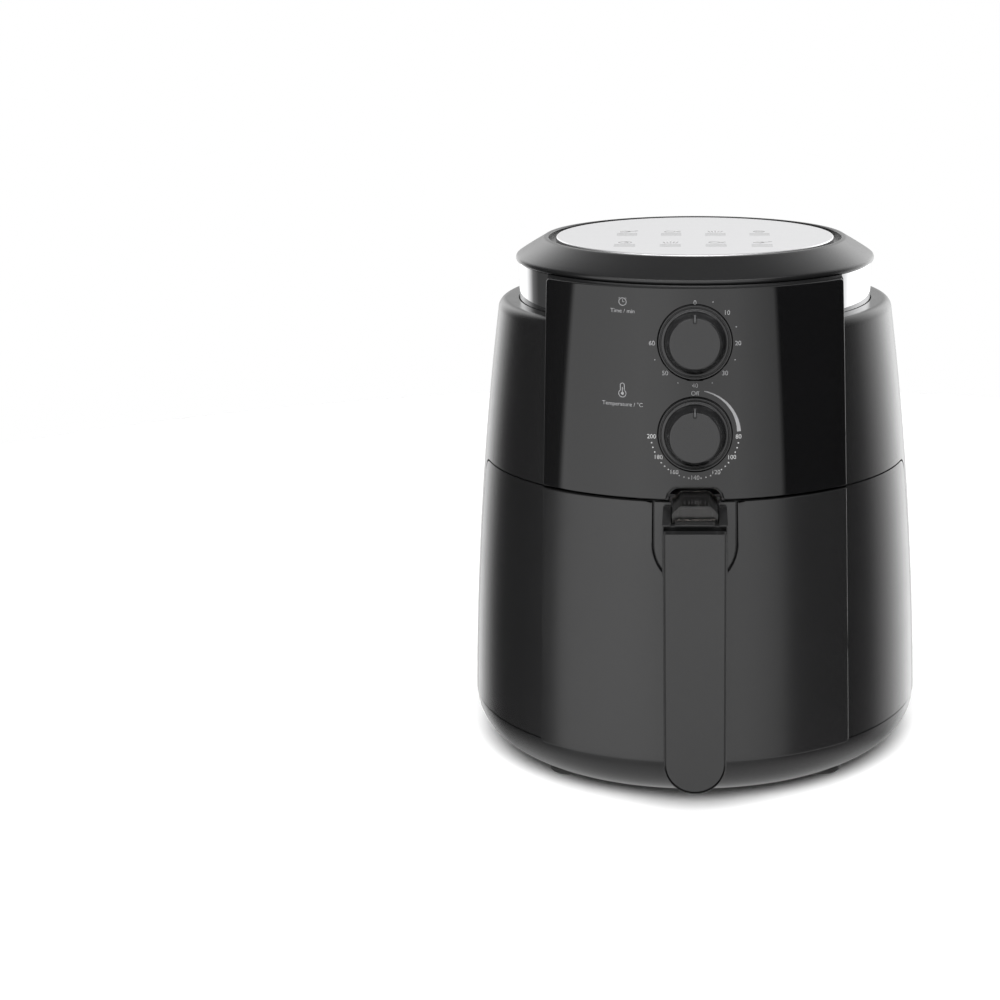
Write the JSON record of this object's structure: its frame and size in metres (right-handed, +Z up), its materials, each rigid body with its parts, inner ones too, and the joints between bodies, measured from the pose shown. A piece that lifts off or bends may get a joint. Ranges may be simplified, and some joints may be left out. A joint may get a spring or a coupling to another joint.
{
  "type": "air fryer",
  "caption": "Round hot-air fryer with a pull-out drawer, pan and basket, a vertical handle with a guarded release button, and two dials on a gloss front panel.",
  "frame": {"origin": "on the standing surface, under the middle of the outline's box", "axes": "+Z up; -Y is the front, where the handle and dials are; +X is to the right seen from the front"},
  "size_m": [0.2702, 0.317, 0.3055],
  "materials": {
    "satin_black_plastic": "satin charcoal",
    "gloss_panel": "piano gloss",
    "dark_grey_plastic": "satin",
    "clear_plastic": "smoky clear",
    "rubber": "matte",
    "polished_band": "polished",
    "brushed_plate": "fine brushed",
    "sheet_steel": "plain sheet and wire",
    "coated_steel": "non-stick coating",
    "switch_plastic": "natural moulding"
  },
  "bodies": {
    "housing": {"outer_housing": "satin_black_plastic", "control_pod": "satin_black_plastic", "control_panel": "gloss_panel", "timer_bezel": "dark_grey_plastic", "temperature_bezel": "dark_grey_plastic", "neck_band": "polished_band", "lid_ring": "satin_black_plastic", "top_plate": "brushed_plate", "base_tray": "satin_black_plastic", "foot_front_left": "rubber", "foot_front_right": "rubber", "foot_rear_left": "rubber", "foot_rear_right": "rubber", "base_screw_front_left": "sheet_steel", "base_screw_front_right": "sheet_steel", "base_screw_rear_left": "sheet_steel", "base_screw_rear_right": "sheet_steel", "rear_grille": "satin_black_plastic", "cord_gland": "rubber", "inner_chamber": "sheet_steel", "left_guide_rail": "sheet_steel", "right_guide_rail": "sheet_steel", "ceiling_deck": "satin_black_plastic", "heater_shroud": "sheet_steel", "heating_element": "sheet_steel", "heater_clip_left": "sheet_steel", "heater_clip_right": "sheet_steel", "heater_guard": "sheet_steel", "air_duct": "sheet_steel", "motor_bracket": "sheet_steel", "fan_motor": "sheet_steel", "timer_unit": "switch_plastic", "thermostat_unit": "switch_plastic", "timer_bell": "sheet_steel", "sensing_bulb": "sheet_steel", "thermal_cutout": "switch_plastic", "interlock_switch": "switch_plastic"},
    "drawer": {"drawer_front": "satin_black_plastic", "drawer_fascia": "satin_black_plastic", "pan": "coated_steel", "pan_bracket": "sheet_steel", "basket": "coated_steel", "basket_strap": "sheet_steel", "handle_body": "satin_black_plastic", "handle_cover": "dark_grey_plastic", "handle_screw_lower": "sheet_steel", "handle_screw_upper": "sheet_steel", "button_spring": "sheet_steel"},
    "fan": {"fan_shaft": "sheet_steel", "cooking_fan": "sheet_steel", "cooling_fan": "switch_plastic", "fan_nut": "sheet_steel"},
    "timer_dial": {"timer_knob": "dark_grey_plastic", "timer_shaft": "sheet_steel"},
    "temperature_dial": {"temperature_knob": "dark_grey_plastic", "thermostat_shaft": "sheet_steel"},
    "release_button": {"release_button": "dark_grey_plastic"},
    "button_guard": {"button_guard": "clear_plastic"}
  },
  "joints": [
    {"name": "drawer_slide", "type": "slide", "parent": "housing", "child": "drawer", "axis": [0, -1, 0], "range_m": [0, 0.22]},
    {"name": "fan_spin", "type": "hinge", "parent": "housing", "child": "fan", "pos_m": [0, 0.0165, 0.23], "axis": [0, 0, 1], "continuous": true},
    {"name": "timer_turn", "type": "hinge", "parent": "housing", "child": "timer_dial", "pos_m": [0, -0.10205, 0.2638], "axis": [0, 0.9907, -0.1362], "range_deg": [0, 270]},
    {"name": "temperature_turn", "type": "hinge", "parent": "housing", "child": "temperature_dial", "pos_m": [0, -0.10823, 0.2146], "axis": [0, 0.9936, -0.113], "range_deg": [0, 270]},
    {"name": "button_press", "type": "slide", "parent": "drawer", "child": "release_button", "axis": [0, 0, -1], "range_m": [0, 0.004], "stiffness_N_per_m": 600, "deforming": ["button_spring"]},
    {"name": "guard_slide", "type": "slide", "parent": "drawer", "child": "button_guard", "axis": [0, -1, 0], "range_m": [0, 0.015]}
  ]
}
